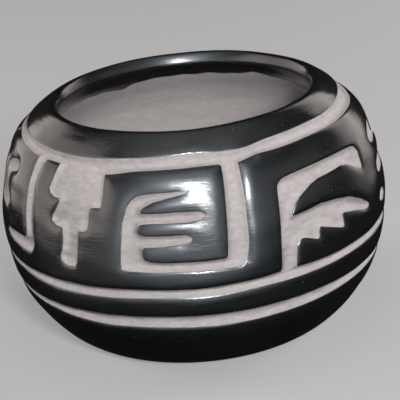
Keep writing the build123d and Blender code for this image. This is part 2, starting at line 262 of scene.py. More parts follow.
def rounded(points):
    """A carved outline: the corners eased by about half a millimetre."""
    out = []
    n = len(points)
    for i in range(n):
        a, b = points[i], points[(i + 1) % n]
        k = float(radius((a[1] + b[1]) / 2)) * math.pi / 180
        m = max(1, math.ceil(math.hypot((b[0] - a[0]) * k, b[1] - a[1]) / 1.5))
        out += [a + (b - a) * j / m for j in range(m)]
    p = np.array(out)
    for _ in range(2):
        q = np.roll(p, -1, 0)
        p = np.stack([0.75 * p + 0.25 * q, 0.25 * p + 0.75 * q], 1).reshape(-1, 2)
    return p


# ================================================================ distance to the carving on a fine sheet
NCOL, DS = 1900, 0.25
S0, S1 = 27.0, 105.0
rows = S0 + DS * np.arange(int(round((S1 - S0) / DS)) + 1)
DPHI = 360.0 / NCOL
cols = PHI0 + DPHI * np.arange(NCOL)
dist = np.full((len(rows), NCOL), 6.0)
inside = np.zeros((len(rows), NCOL), bool)
for figure in figures:
    p = rounded(figure)
    q = np.roll(p, -1, 0)
    for (p0, s0), (p1, s1) in zip(p, q):
        k = float(radius((s0 + s1) / 2)) * math.pi / 180
        j0 = max(0, int((min(s0, s1) - 5.5 - S0) / DS))
        j1 = min(len(rows), int((max(s0, s1) + 5.5 - S0) / DS) + 2)
        if j1 <= j0:
            continue
        ii = np.arange(int(math.floor((min(p0, p1) - 5.5 / k - PHI0) / DPHI)), int(math.ceil((max(p0, p1) + 5.5 / k - PHI0) / DPHI)) + 1)
        x = (PHI0 + DPHI * ii - p0) * k
        y = (rows[j0:j1] - s0)[:, None]
        ex, ey = (p1 - p0) * k, s1 - s0
        t = np.clip((x * ex + y * ey) / max(ex * ex + ey * ey, 1e-9), 0, 1)
        c = ii % NCOL
        dist[j0:j1, c] = np.minimum(dist[j0:j1, c], np.hypot(x - t * ex, y - t * ey))
    for j in range(len(rows)):
        cross = (p[:, 1] <= rows[j]) != (q[:, 1] <= rows[j])
        if not cross.any():
            continue
        xs = np.sort(p[cross, 0] + (rows[j] - p[cross, 1]) / (q[cross, 1] - p[cross, 1]) * (q[cross, 0] - p[cross, 0]))
        for a, b in zip(xs[::2], xs[1::2]):
            ii = np.arange(math.ceil((a - PHI0) / DPHI), math.floor((b - PHI0) / DPHI) + 1)
            inside[j, ii % NCOL] = True
D = np.where(inside, -dist, dist)
SS, CC = rows[:, None], cols[None, :]
for low, high in ((rim_low, rim_high), (up_low, up_high), (down_low, down_high)):
    D = np.minimum(D, np.maximum(low(cols)[None, :] - SS, SS - high(cols)[None, :]))


def blur(a, sigma):
    """Gaussian blur, closed round the jar. sigma is in cells."""
    n = int(math.ceil(3 * sigma))
    w = np.exp(-0.5 * (np.arange(-n, n + 1) / sigma) ** 2)
    w /= w.sum()
    out = sum(wi * np.roll(a, i, 1) for i, wi in zip(range(-n, n + 1), w))
    padded = np.pad(out, ((n, n), (0, 0)), "edge")
    return sum(wi * padded[i : i + len(a)] for i, wi in enumerate(w))


# how far the surface lies below the polished ground, by distance from the outline of the carving
WALL_D = [-4.2, -3.2, -2.5, -2.0, -1.6, -1.2, -0.9, -0.6, -0.35]
WALL_H = [2.36, 2.35, 2.31, 2.24, 2.14, 1.97, 1.78, 1.50, 1.20]
PILLOW_D = WALL_D + [0.0, 0.3, 0.7, 1.2, 1.8, 2.6, 3.4, 4.2, 5.2]
PILLOW_H = WALL_H + [0.72, 0.55, 0.42, 0.31, 0.215, 0.12, 0.055, 0.018, 0.0]
TOP_D = WALL_D + [0.0, 0.4, 0.8, 1.3, 1.9, 2.6, 3.3, 4.0, 4.6]
TOP_H = WALL_H + [0.90, 0.78, 0.63, 0.44, 0.26, 0.115, 0.035, 0.006, 0.0]
BEVEL_D = WALL_D + [0.0, 0.4, 0.8, 1.2, 1.7, 2.2, 2.8, 3.4, 4.2, 5.2]
BEVEL_H = WALL_H + [0.95, 0.77, 0.62, 0.48, 0.34, 0.23, 0.135, 0.07, 0.02, 0.0]
CRISP_D = WALL_D + [0.0, 0.3, 0.7, 1.2, 1.8, 2.5, 3.2]
CRISP_H = WALL_H + [0.60, 0.40, 0.24, 0.12, 0.05, 0.015, 0.0]
COLLAR_D = [-3.0, -2.0, -1.5, -1.1, -0.8, -0.55, -0.3, -0.1, 0.0, 0.2, 0.5, 0.9, 1.4]
COLLAR_H = [2.36, 2.26, 2.10, 1.86, 1.58, 1.24, 0.80, 0.44, 0.30, 0.17, 0.08, 0.02, 0.0]
half = (CC + 90.0) % 180.0 - 90.0  # the figures come twice round the jar
pillow = smooth(-31, -27, half) * (1 - smooth(11.5, 13.5, half)) * smooth(56.5, 59.5, SS)
bevel = smooth(11.5, 13.5, half) * (1 - smooth(20, 23, half)) * smooth(55, 58, SS)
H = np.interp(D, CRISP_D, CRISP_H)
H += pillow * (np.interp(D, PILLOW_D, PILLOW_H) - np.interp(D, CRISP_D, CRISP_H))
H += bevel * (np.interp(D, BEVEL_D, BEVEL_H) - np.interp(D, CRISP_D, CRISP_H))
beside = (1 - smooth(-69, -64, half)) * smooth(66, 69, SS) * (1 - smooth(88, 91, SS))
H = np.maximum(H, beside * np.interp(D, TOP_D, TOP_H))
top = (1 - smooth(14, 22, half)) * (rim_low(cols)[None, :] > SS) * (1 - bevel)  # the frieze's top edge is rounded more
H = np.maximum(H, top * np.interp(rim_low(cols)[None, :] - SS, TOP_D, TOP_H))
H = np.where(SS > 0.5 * (rim_low(cols) + rim_high(cols))[None, :], np.interp(D, COLLAR_D, COLLAR_H), H)
soft = smooth(0.3, 1.8, D)
H = blur(H, 1.0) * (1 - soft) + (blur(H, 2.0) * (1 - pillow) + blur(H, 3.0) * pillow) * soft
# where a tool left the clay, the cut runs out more gently: azimuth, run, reach, how much depth stays at the tip
for a, b, reach, keep in (
    (-1.5, 85.3, 6.0, 0.30), (3.0, 76.8, 6.0, 0.30), (-1.4, 68.75, 5.0, 0.45), (59.0, 61.2, 4.0, 0.5), (60.8, 75.2, 3.0, 0.7),
    (27.8, 70.4, 0.1, 1.0), (112.6, 70.8, 5.0, 0.45), (70.8, 79.0, 3.0, 0.6), (70.8, 68.5, 3.0, 0.7), (107.6, 59.2, 4.0, 0.6), (86.8, 77.2, 3.0, 0.8),
):
    for turn in (0.0, 180.0):
        far = np.hypot(((CC - a - turn + 180) % 360 - 180) * (float(radius(b)) * math.pi / 180), SS - b)
        H *= keep + (1 - keep) * smooth(0.0, reach, far)
raised = smooth(-1.2, 0.8, D)
H += (1 - raised) * 0.07 * floor_waves(CC, SS)
H -= raised * 0.05 * hand_waves(CC, SS)
fade = smooth(S0, S0 + 3, SS) * (1 - smooth(S1 - 3, S1, SS))
H *= fade


def sheet_at(grid, phi, s, outside):
    """Bilinear value of a sheet, and a constant past its ends."""
    x = ((np.asarray(phi) - PHI0) / DPHI) % NCOL
    y = np.clip((np.asarray(s) - S0) / DS, 0, len(rows) - 1.000001)
    i, j = np.floor(x).astype(int), np.floor(y).astype(int)
    u, v = x - i, y - j
    i0, i1 = i % NCOL, (i + 1) % NCOL
    value = (grid[j, i0] * (1 - u) + grid[j, i1] * u) * (1 - v) + (grid[j + 1, i0] * (1 - u) + grid[j + 1, i1] * u) * v
    return np.where((s < S0) | (s > S1), outside, value)


def carve_distance(phi, s):
    return sheet_at(D, phi, s, 6.0)


def slip_distance(phi, s):
    """Distance into the slip coat from its edge, negative on bare clay."""
    return np.minimum(np.minimum(carve_distance(phi, s) - 0.12, throat_edge(phi) - s), s - foot_edge(phi))


def place(phi, s, under=0.0):
    """Point of the surface in millimetres, with the carving, the hand-made unevenness and the lip's tilt."""
    a = np.radians(phi)
    r, z = radius(s), np.where(s < RUN0, 0.0, np.interp(s, PS, PZ))
    nr, nz = np.where(s < RUN0, 0.0, np.interp(s, PS, NR)), np.where(s < RUN0, -1.0, np.interp(s, PS, NZ))
    body = smooth(2.0, 14.0, s) * (1 - smooth(RUN_END - 70, RUN_END - 45, s))
    depth = sheet_at(H, phi, s, 0.0) + under - 0.11 * body * body_waves(phi, s * (s < CREST + 6) + (2 * CREST + 12 - s) * (s >= CREST + 6))
    r, z = r - depth * nr, z - depth * nz
    tilt = smooth(84.0, 105.0, s) * (1 - smooth(CREST + 14, CREST + 45, s))
    z = z + tilt * (0.19 * np.sin(a) + 0.82 * np.cos(a))
    return np.stack([r * np.sin(a), -r * np.cos(a), z], -1)


def normal(phi, s):
    """Direction out of the surface."""
    k = np.maximum(radius(s), 1.0) * math.pi / 180
    e = 0.22
    du = place(phi + e / k, s) - place(phi - e / k, s)
    dv = place(phi, s + e) - place(phi, s - e)
    n = np.cross(du, dv)
    return n / np.maximum(np.linalg.norm(n, axis=-1, keepdims=True), 1e-12)


# ================================================================ one sheet of triangles round the outside, the lip and the throat
joints = [18.0, 30.5, 42.0, 54.0, 66.0, 78.5, 91.0]
stops = [(RUN0, 3), (2.0, 10), (18.0, 8), (30.5, 15), (42.0, 15), (54.0, 15), (66.0, 16), (78.5, 16), (91.0, 16), (103.5, 3), (106.0, 20), (CREST + 8.0, 18), (THROAT_END, 0)]
run_rows = np.concatenate([np.linspace(a[0], b[0], a[1], endpoint=False) for a, b in zip(stops, stops[1:])] + [[THROAT_END]])
NM = 600
col_phi = PHI0 + 360.0 / NM * np.arange(NM + 1)
PH, RU = [a.ravel().copy() for a in np.meshgrid(col_phi, run_rows)]
ci, ri = np.meshgrid(np.arange(NM), np.arange(len(run_rows) - 1))
ci, ri = ci.ravel(), ri.ravel()
v00 = ri * (NM + 1) + ci
v10, v01, v11 = v00 + 1, v00 + NM + 1, v00 + NM + 2
even = (ci + ri) % 2 == 0
T = np.concatenate([
    np.stack([v00, v10, v11], 1)[even], np.stack([v00, v11, v01], 1)[even],
    np.stack([v00, v10, v01], 1)[~even], np.stack([v10, v11, v01], 1)[~even],
])
locked = np.zeros(len(PH), bool)
joint_row = np.isin(RU, joints) | (RU == THROAT_END) | (RU == RUN0)


def walk_to(f, level, phi, s, steps=3):
    """Moves points along the slope of f until f is level."""
    for _ in range(steps):
        k = radius(s) * math.pi / 180
        e = 0.13
        gx = (f(phi + e / k, s) - f(phi - e / k, s)) / (2 * e)
        gy = (f(phi, s + e) - f(phi, s - e)) / (2 * e)
        g2 = np.maximum(gx * gx + gy * gy, 0.25)
        m = np.clip((level - f(phi, s)) / g2, -0.25, 0.25)
        phi, s = phi + m * gx / k, s + m * gy
    return phi, s


def cut(f, level, snap):
    """Splits the sheet's triangles along a level line of f."""
    global PH, RU, T, locked, joint_row
    val = f(PH, RU) - level
    near = (np.abs(val) < snap) & ~locked & ~joint_row
    PH[near], RU[near] = walk_to(f, level, PH[near], RU[near])
    locked |= near
    sign = np.sign(val).astype(int)
    sign[near] = 0
    sign[np.abs(val) < 1e-4] = 0
    st = sign[T]
    crossing = (st.max(1) > 0) & (st.min(1) < 0)
    keep, tri, st = T[~crossing], T[crossing], st[crossing]
    edges = np.concatenate([tri[:, [0, 1]], tri[:, [1, 2]], tri[:, [2, 0]]])
    es = np.concatenate([st[:, [0, 1]], st[:, [1, 2]], st[:, [2, 0]]])
    edges = np.sort(edges[es[:, 0] * es[:, 1] < 0], 1)
    uniq = np.unique(edges, axis=0)
    a, b = uniq[:, 0], uniq[:, 1]
    t = val[a] / (val[a] - val[b])
    phi, s = PH[a] + t * (PH[b] - PH[a]), RU[a] + t * (RU[b] - RU[a])
    on_joint = joint_row[a] & joint_row[b] & (RU[a] == RU[b])
    p2, s2 = walk_to(f, level, phi, s, 2)
    on_seam = (np.abs(PH[a] - PH[b]) < 1e-9) & ((np.abs(PH[a] - PHI0) < 1e-9) | (np.abs(PH[a] - PHI0 - 360) < 1e-9))
    free = ~on_joint & ~on_seam
    phi[free], s[free] = p2[free], s2[free]
    base = len(PH)
    key = a.astype(np.int64) * (base + 1) + b
    PH, RU = np.r_[PH, phi], np.r_[RU, s]
    locked = np.r_[locked, np.ones(len(phi), bool)]
    joint_row = np.r_[joint_row, on_joint]

    def mid(x, y):
        x, y = np.minimum(x, y), np.maximum(x, y)
        return base + np.searchsorted(key, x.astype(np.int64) * (base + 1) + y)

    made = [keep]
    zero = (st == 0).any(1)
    for k in range(3):
        m = zero & (st[:, k] == 0)
        z, x, y = tri[m, k], tri[m, (k + 1) % 3], tri[m, (k + 2) % 3]
        c = mid(x, y)
        made += [np.stack([z, x, c], 1), np.stack([z, c, y], 1)]
        m = ~zero & (st[:, k] != st[:, (k + 1) % 3]) & (st[:, k] != st[:, (k + 2) % 3])
        o, x, y = tri[m, k], tri[m, (k + 1) % 3], tri[m, (k + 2) % 3]
        c1, c2 = mid(o, x), mid(o, y)
        made += [np.stack([o, c1, c2], 1), np.stack([c1, x, y], 1), np.stack([c1, y, c2], 1)]
    T = np.concatenate(made)


cut(slip_distance, 0.0, 0.17)
for level in (-1.15, -0.6, 0.5, 1.15):
    cut(carve_distance, level, 0.14)

MD = slip_distance(PH, RU)
MD[np.abs(MD) < 0.02] = 0.0
# an edge that joins two points of the slip's edge across the slip gets a point of its own in the middle
on = MD == 0
tri_in = np.nonzero(MD[T].sum(1) > 1e-6)[0]
e3 = np.sort(np.concatenate([T[tri_in][:, [0, 1]], T[tri_in][:, [1, 2]], T[tri_in][:, [2, 0]]]), 1)
e3 = e3[on[e3].all(1)]
pairs, times = np.unique(e3, axis=0, return_counts=True)
for a, b in pairs[times > 1]:
    c = len(PH)
    PH, RU = np.r_[PH, (PH[a] + PH[b]) / 2], np.r_[RU, (RU[a] + RU[b]) / 2]
    joint_row = np.r_[joint_row, joint_row[a] & joint_row[b] & (RU[a] == RU[b])]
    MD = np.r_[MD, max(0.04, float(slip_distance(PH[c], RU[c])))]
    for t in np.nonzero((T == a).any(1) & (T == b).any(1))[0]:
        o = [v for v in T[t] if v != a and v != b][0]
        T[t] = (a, c, o)
        T = np.concatenate([T, [[c, b, o]]])
CD = carve_distance(PH, RU)
centre_md = MD[T].sum(1)
centre_run = RU[T].mean(1)
coat = SLIP * smooth(0.0, 0.9, MD)
OUT = place(PH, RU)
UNDER = place(PH, RU, coat)
NOR = normal(PH, RU)
NOR[RU < RUN0 + 0.3] = (0.0, 0.0, -1.0)


# ================================================================ meshes
class Piece:
    """Collects triangles with the side that each should face, then makes one closed mesh."""

    def __init__(self):
        self.co, self.no, self.tri, self.want, self.mat, self.att, self.n = [], [], [], [], [], [], 0

    def add(self, co, no, tri, want, mat=0, edge=-3.0, carve=6.0):
        co = np.asarray(co, float)
        tri = np.asarray(tri, int)
        self.co.append(co)
        self.no.append(np.broadcast_to(no, co.shape))
        self.att.append(np.stack([np.broadcast_to(edge, len(co)), np.broadcast_to(carve, len(co))], 1))
        self.tri.append(tri + self.n)
        self.want.append(np.broadcast_to(want, (len(tri), 3)) if want is not None else np.full((len(tri), 3), np.nan))
        self.mat.append(np.full(len(tri), mat))
        self.n += len(co)

    def build(self, name, node, materials):
        co, no, att = np.concatenate(self.co), np.concatenate(self.no), np.concatenate(self.att)
        tri, want, mat = np.concatenate(self.tri), np.concatenate(self.want), np.concatenate(self.mat)
        key, first, back = np.unique(np.round(co * 400).astype(np.int64), axis=0, return_index=True, return_inverse=True)
        back = back.ravel()
        corner_no = no[tri]
        new = back[tri]
        ok = (new[:, 0] != new[:, 1]) & (new[:, 1] != new[:, 2]) & (new[:, 2] != new[:, 0])
        new, corner_no, want, mat = new[ok], corner_no[ok], want[ok], mat[ok]
        pos, att = co[first], att[first]
        fn = np.cross(pos[new[:, 1]] - pos[new[:, 0]], pos[new[:, 2]] - pos[new[:, 0]])
        fn /= np.maximum(np.linalg.norm(fn, axis=1, keepdims=True), 1e-12)
        aim = np.where(np.isnan(want), corner_no.mean(1), want)
        flip = (fn * aim).sum(1) < 0
        new[flip] = new[flip][:, ::-1]
        corner_no[flip] = corner_no[flip][:, ::-1]
        fn[flip] *= -1
        hidden = ~np.isnan(want[:, 0])
        corner_no = corner_no.copy()
        corner_no[hidden] = np.where((corner_no[hidden] * want[hidden][:, None]).sum(-1, keepdims=True) < 0.0, -corner_no[hidden], corner_no[hidden])
        me = bpy.data.meshes.new(name)
        n = len(new)
        me.vertices.add(len(pos))
        me.vertices.foreach_set("co", (pos * MM).astype(np.float32).ravel())
        me.loops.add(3 * n)
        me.loops.foreach_set("vertex_index", new.astype(np.int32).ravel())
        me.polygons.add(n)
        me.polygons.foreach_set("loop_start", np.arange(0, 3 * n, 3, dtype=np.int32))
        me.update(calc_edges=True)
        me.polygons.foreach_set("use_smooth", np.ones(n, bool))
        me.polygons.foreach_set("material_index", mat.astype(np.int32))
        for k, label in enumerate(("slip_edge", "carve_edge")):
            attribute = me.attributes.new(label, "FLOAT", "POINT")
            attribute.data.foreach_set("value", np.clip(att[:, k], -4, 6).astype(np.float32))
        me.normals_split_custom_set(corner_no.reshape(-1, 3).astype(np.float32))
        for m in materials:
            me.materials.append(m)
        ob = bpy.data.objects.new(name, me)
        bpy.context.scene.collection.objects.link(ob)
        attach(ob, "root")
        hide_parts(node)
        e = np.sort(np.concatenate([new[:, [0, 1]], new[:, [1, 2]], new[:, [2, 0]]]), 1)
        _, times = np.unique(e, axis=0, return_counts=True)
        print("piece", name, "faces", n, "open or extra edges", int((times != 2).sum()))
        return ob


def part_of_sheet(mask):
    ids, back = np.unique(T[mask], return_inverse=True)
    return ids, back.reshape(-1, 3)


def loop_at(run):
    """Sheet points on a joint row, by azimuth, without the doubled one."""
    ids = np.nonzero(joint_row & (np.abs(RU - run) < 1e-6))[0]
    used = np.zeros(len(PH), bool)
    used[T.ravel()] = True
    ids = ids[used[ids]]
    ids = ids[np.argsort(PH[ids])]
    return ids[PH[ids] < PHI0 + 360 - 1e-6]


def zipper(pa, pb):
    """Triangles between two closed rings given by azimuth; the second ring's numbers follow the first's."""
    na, nb = len(pa), len(pb)
    i = j = 0
    out = []
    while i < na or j < nb:
        xa = pa[(i + 1) % na] + 360 * ((i + 1) // na)
        xb = pb[(j + 1) % nb] + 360 * ((j + 1) // nb)
        if j >= nb or (i < na and xa <= xb):
            out.append((i % na, (i + 1) % na, na + j % nb))
            i += 1
        else:
            out.append((i % na, na + (j + 1) % nb, na + j % nb))
            j += 1
    return np.array(out)


def ring(count):
    return PHI0 + 360.0 / count * np.arange(count)


def band(piece, run_list, count, **kw):
    """An even grid band on the profile between runs."""
    run_list = np.asarray(run_list, float)
    phi, run = [a.ravel() for a in np.meshgrid(ring(count), run_list)]
    i, j = [a.ravel() for a in np.meshgrid(np.arange(count), np.arange(len(run_list) - 1))]
    a = j * count + i
    b = j * count + (i + 1) % count
    piece.add(place(phi, run), normal(phi, run), np.concatenate([np.stack([a, b, b + count], 1), np.stack([a, b + count, a + count], 1)]), None, **kw)


def stitch(piece, phi_a, run_a, phi_b, run_b, want=None, co_a=None, **kw):
    """Joins two rings of different counts."""
    a = place(phi_a, np.full(len(phi_a), run_a)) if co_a is None else co_a
    b = place(phi_b, np.full(len(phi_b), run_b))
    if want is None:
        no = np.concatenate([normal(phi_a, np.full(len(phi_a), run_a)), normal(phi_b, np.full(len(phi_b), run_b))])
    else:
        no = np.broadcast_to(want, (len(a) + len(b), 3))
    piece.add(np.concatenate([a, b]), no, zipper(phi_a, phi_b), want, **kw)


IN_N = 240
inner = [inside_run(r) for r in joints]
UPN, DOWNN = np.array((0.0, 0.0, 1.0)), np.array((0.0, 0.0, -1.0))


def joint_face(piece, k, want):
    """The slanted face of a joint, from the sheet's row to the inside."""
    ids = loop_at(joints[k])
    stitch(piece, PH[ids], joints[k], ring(IN_N), inner[k], want=want, co_a=UNDER[ids])


def clay_sheet(piece, low, high):
    m = (centre_run > low) & (centre_run < high)
    ids, tri = part_of_sheet(m)
    piece.add(UNDER[ids], NOR[ids], tri, None, edge=MD[ids], carve=CD[ids])


def steps(a, b, size):
    return np.linspace(a, b, max(2, int(round(abs(b - a) / size)) + 1))


# ---------------------------------------------------------------- materials
def material(name):
    m = bpy.data.materials.new(name)
    m.use_nodes = True
    nt = m.node_tree
    for n in list(nt.nodes):
        if n.type != "OUTPUT_MATERIAL":
            nt.nodes.remove(n)
    bsdf = nt.nodes.new("ShaderNodeBsdfPrincipled")
    out = next(n for n in nt.nodes if n.type == "OUTPUT_MATERIAL")
    nt.links.new(bsdf.outputs[0], out.inputs[0])
    return m, nt, bsdf


def node(nt, kind, inputs=None, **props):
    n = nt.nodes.new(kind)
    for k, v in props.items():
        setattr(n, k, v)
    for k, v in (inputs or {}).items():
        if hasattr(v, "is_output") or isinstance(v, bpy.types.NodeSocket):
            nt.links.new(v, n.inputs[k])
        else:
            n.inputs[k].default_value = v
    return n


def noise(nt, where, scale, stretch=(1, 1, 1), detail=3.0, rough=0.55, shift=(0, 0, 0)):
    mp = node(nt, "ShaderNodeMapping", {"Vector": where, "Location": shift, "Scale": stretch})
    return node(nt, "ShaderNodeTexNoise", {"Vector": mp.outputs[0], "Scale": scale, "Detail": detail, "Roughness": rough}).outputs["Fac"]


def ramp(nt, value, a, b, lo=0.0, hi=1.0):
    return node(nt, "ShaderNodeMapRange", {"Value": value, "From Min": a, "From Max": b, "To Min": lo, "To Max": hi}, interpolation_type="SMOOTHSTEP").outputs[0]


def mix(nt, fac, a, b):
    n = nt.nodes.new("ShaderNodeMix")
    n.data_type = "RGBA"
    for sock, v in ((n.inputs[0], fac), (n.inputs[6], a), (n.inputs[7], b)):
        if isinstance(v, bpy.types.NodeSocket):
            nt.links.new(v, sock)
        else:
            sock.default_value = v
    return n.outputs[2]


def math_node(nt, op, a, b=None, c=None):
    n = nt.nodes.new("ShaderNodeMath")
    n.operation = op
    for k, v in enumerate((a, b, c)):
        if v is None:
            continue
        if isinstance(v, bpy.types.NodeSocket):
            nt.links.new(v, n.inputs[k])
        else:
            n.inputs[k].default_value = v
    return n.outputs[0]


def polished():
    m, nt, bsdf = material("stone_polished_slip")
    where = node(nt, "ShaderNodeTexCoord").outputs["Object"]
    edge = node(nt, "ShaderNodeAttribute", attribute_name="slip_edge").outputs["Fac"]
    cloud = noise(nt, where, 26.0, detail=4.0)
    streak = noise(nt, where, 130.0, stretch=(1, 1, 13), detail=4.0, rough=0.6)
    hair = noise(nt, where, 420.0, stretch=(1, 1, 16), detail=2.0, shift=(3.1, 1.7, 0.4))
    speck = noise(nt, where, 900.0, detail=1.0, shift=(0.3, 5.0, 2.0))
    base = mix(nt, ramp(nt, cloud, 0.35, 0.7), (0.0018, 0.0018, 0.0020, 1), (0.0036, 0.0036, 0.0040, 1))
    base = mix(nt, ramp(nt, streak, 0.5, 0.8, 0, 0.5), base, (0.008, 0.0081, 0.0086, 1))
    base = mix(nt, ramp(nt, speck, 0.735, 0.775, 0, 0.7), base, (0.05, 0.048, 0.046, 1))
    worn = ramp(nt, math_node(nt, "ADD", edge, ramp(nt, streak, 0.3, 0.7, -0.2, 0.2)), 0.0, 0.35, 1.0, 0.0)
    base = mix(nt, math_node(nt, "MULTIPLY", worn, 0.4), base, (0.05, 0.045, 0.043, 1))
    nt.links.new(base, bsdf.inputs["Base Color"])
    rough = ramp(nt, streak, 0.3, 0.75, 0.075, 0.15)
    rough = math_node(nt, "ADD", rough, ramp(nt, cloud, 0.3, 0.7, -0.02, 0.04))
    rough = math_node(nt, "ADD", rough, math_node(nt, "MULTIPLY", worn, 0.2))
    nt.links.new(rough, bsdf.inputs["Roughness"])
    bsdf.inputs["IOR"].default_value = 1.49
    bsdf.inputs["Coat Weight"].default_value = 0.06
    bsdf.inputs["Coat Roughness"].default_value = 0.36
    bsdf.inputs["Coat IOR"].default_value = 1.5
    b1 = node(nt, "ShaderNodeBump", {"Height": hair, "Strength": 0.7, "Distance": 0.00004})
    b2 = node(nt, "ShaderNodeBump", {"Height": streak, "Strength": 0.75, "Distance": 0.00008, "Normal": b1.outputs[0]})
    nt.links.new(b2.outputs[0], bsdf.inputs["Normal"])
    nt.links.new(b2.outputs[0], bsdf.inputs["Coat Normal"])
    return m


def clay(name, light, dark, edge_darkening, inside_painted_light=0.0):
    m, nt, bsdf = material(name)
    where = node(nt, "ShaderNodeTexCoord").outputs["Object"]
    edge = node(nt, "ShaderNodeAttribute", attribute_name="slip_edge").outputs["Fac"]
    carve = node(nt, "ShaderNodeAttribute", attribute_name="carve_edge").outputs["Fac"]
    cloud = noise(nt, where, 38.0, detail=5.0)
    mottle = noise(nt, where, 420.0, stretch=(1, 1, 1.5), detail=5.0, rough=0.75, shift=(2.0, 0.4, 1.0))
    wipe = noise(nt, where, 110.0, stretch=(1, 1, 7), detail=6.0, rough=0.65)
    scratch = noise(nt, where, 420.0, stretch=(1, 1, 7), detail=3.0, shift=(1.0, 4.0, 0.2))
    grit = noise(nt, where, 1300.0, detail=2.0)
    base = mix(nt, ramp(nt, cloud, 0.32, 0.68), dark, light)
    base = mix(nt, ramp(nt, mottle, 0.45, 0.72, 0, 0.6), base, tuple(c * 1.32 for c in light[:3]) + (1,))
    base = mix(nt, ramp(nt, mottle, 0.5, 0.25, 0, 0.4), base, tuple(c * 0.68 for c in dark[:3]) + (1,))
    base = mix(nt, ramp(nt, wipe, 0.42, 0.72, 0, 0.4), base, tuple(c * 1.25 for c in light[:3]) + (1,))
    base = mix(nt, ramp(nt, wipe, 0.45, 0.22, 0, 0.34), base, tuple(c * 0.7 for c in dark[:3]) + (1,))
    base = mix(nt, ramp(nt, scratch, 0.42, 0.22, 0, 0.35), base, tuple(c * 0.6 for c in dark[:3]) + (1,))
    base = mix(nt, ramp(nt, grit, 0.36, 0.22, 0, 0.5), base, (0.05, 0.046, 0.045, 1))
    # painted light: the clay inside the jar and in the throat is painted paler, standing in for light falling on the
    # inside wall
    base = mix(nt, ramp(nt, carve, 2.0, 5.0, 0.0, inside_painted_light), base, (0.42, 0.388, 0.382, 1))  # paler inside the jar
    # the clay right next to the slip's edge is darkened, in a band that wavers with the wipe marks
    edge_dark_spread = math_node(nt, "ADD", edge, ramp(nt, wipe, 0.3, 0.75, -0.3, 0.3))
    near = ramp(nt, edge_dark_spread, -0.4, 0.02)
    base = mix(nt, math_node(nt, "MULTIPLY", near, edge_darkening), base, (0.03, 0.028, 0.029, 1))
    nt.links.new(base, bsdf.inputs["Base Color"])
    nt.links.new(ramp(nt, wipe, 0.3, 0.7, 0.72, 0.9), bsdf.inputs["Roughness"])
    bsdf.inputs["Specular IOR Level"].default_value = 0.35
    b1 = node(nt, "ShaderNodeBump", {"Height": scratch, "Strength": 0.3, "Distance": 0.0001})
    b2 = node(nt, "ShaderNodeBump", {"Height": mottle, "Strength": 0.55, "Distance": 0.00016, "Normal": b1.outputs[0]})
    b3 = node(nt, "ShaderNodeBump", {"Height": wipe, "Strength": 0.4, "Distance": 0.0003, "Normal": b2.outputs[0]})
    nt.links.new(b3.outputs[0], bsdf.inputs["Normal"])
    return m


slip_material = polished()
# the last number is how much painted light brightens the clay inside the jar
clay_material = clay("matte_taupe_clay", (0.268, 0.247, 0.244, 1), (0.244, 0.225, 0.221, 1), 0.2, 0.28)
foot_material = clay("smoked_bare_foot", (0.055, 0.050, 0.047, 1), (0.030, 0.028, 0.027, 1), 0.5)

# ---------------------------------------------------------------- clay: base, six wall coils and the rim coil
piece = Piece()
clay_sheet(piece, RUN0 - 1, joints[0])
joint_face(piece, 0, UPN)
band(piece, steps(inner[0], RUN_END - 40.0, 2.2), IN_N)
stitch(piece, ring(IN_N), RUN_END - 40.0, ring(96), RUN_END - 36.0)
band(piece, steps(RUN_END - 36.0, RUN_END - 14.0, 3.5), 96)
stitch(piece, ring(96), RUN_END - 14.0, ring(24), RUN_END - 8.0)
band(piece, [RUN_END - 8.0, RUN_END - 3.0], 24)
tip = place(ring(24), np.full(24, RUN_END - 3.0))
piece.add(np.r_[tip, [[0, 0, 7.5]]], UPN, [(i, (i + 1) % 24, 24) for i in range(24)], None)
ids = loop_at(RUN0)
stitch(piece, PH[ids], RUN0, ring(120), RUN0 - 5.0, want=DOWNN, co_a=UNDER[ids], mat=1)
grid_phi, grid_run = [a.ravel() for a in np.meshgrid(ring(120), RUN0 - np.array([5.0, 11.0, 18.0, 26.0]))]
gi, gj = [a.ravel() for a in np.meshgrid(np.arange(120), np.arange(3))]
ga, gb = gj * 120 + gi, gj * 120 + (gi + 1) % 120
piece.add(place(grid_phi, grid_run), DOWNN, np.concatenate([np.stack([ga, gb, gb + 120], 1), np.stack([ga, gb + 120, ga + 120], 1)]), DOWNN, mat=1)
stitch(piece, ring(120), RUN0 - 26.0, ring(30), RUN0 - 38.0, want=DOWNN, mat=1)
tip = place(ring(30), np.full(30, RUN0 - 38.0))
piece.add(np.r_[tip, [[0, 0, 0]]], DOWNN, [(i, (i + 1) % 30, 30) for i in range(30)], DOWNN, mat=1)
piece.build("base_pancake_clay", "base_pancake", [clay_material, foot_material])

for c in range(6):
    piece = Piece()
    clay_sheet(piece, joints[c], joints[c + 1])
    joint_face(piece, c, DOWNN)
    joint_face(piece, c + 1, UPN)
    band(piece, steps(inner[c], inner[c + 1], 2.0), IN_N)
    piece.build(f"wall_coil_{c + 1}_clay", f"wall_coil_{c + 1}", [clay_material])

piece = Piece()
clay_sheet(piece, joints[6], THROAT_END)
joint_face(piece, 6, DOWNN)
ids = loop_at(THROAT_END)
stitch(piece, PH[ids], THROAT_END, ring(IN_N), THROAT_END + 1.2, co_a=UNDER[ids])
band(piece, steps(THROAT_END + 1.2, inner[6], 1.6), IN_N)
piece.build("rim_coil_clay", "rim_coil", [clay_material])

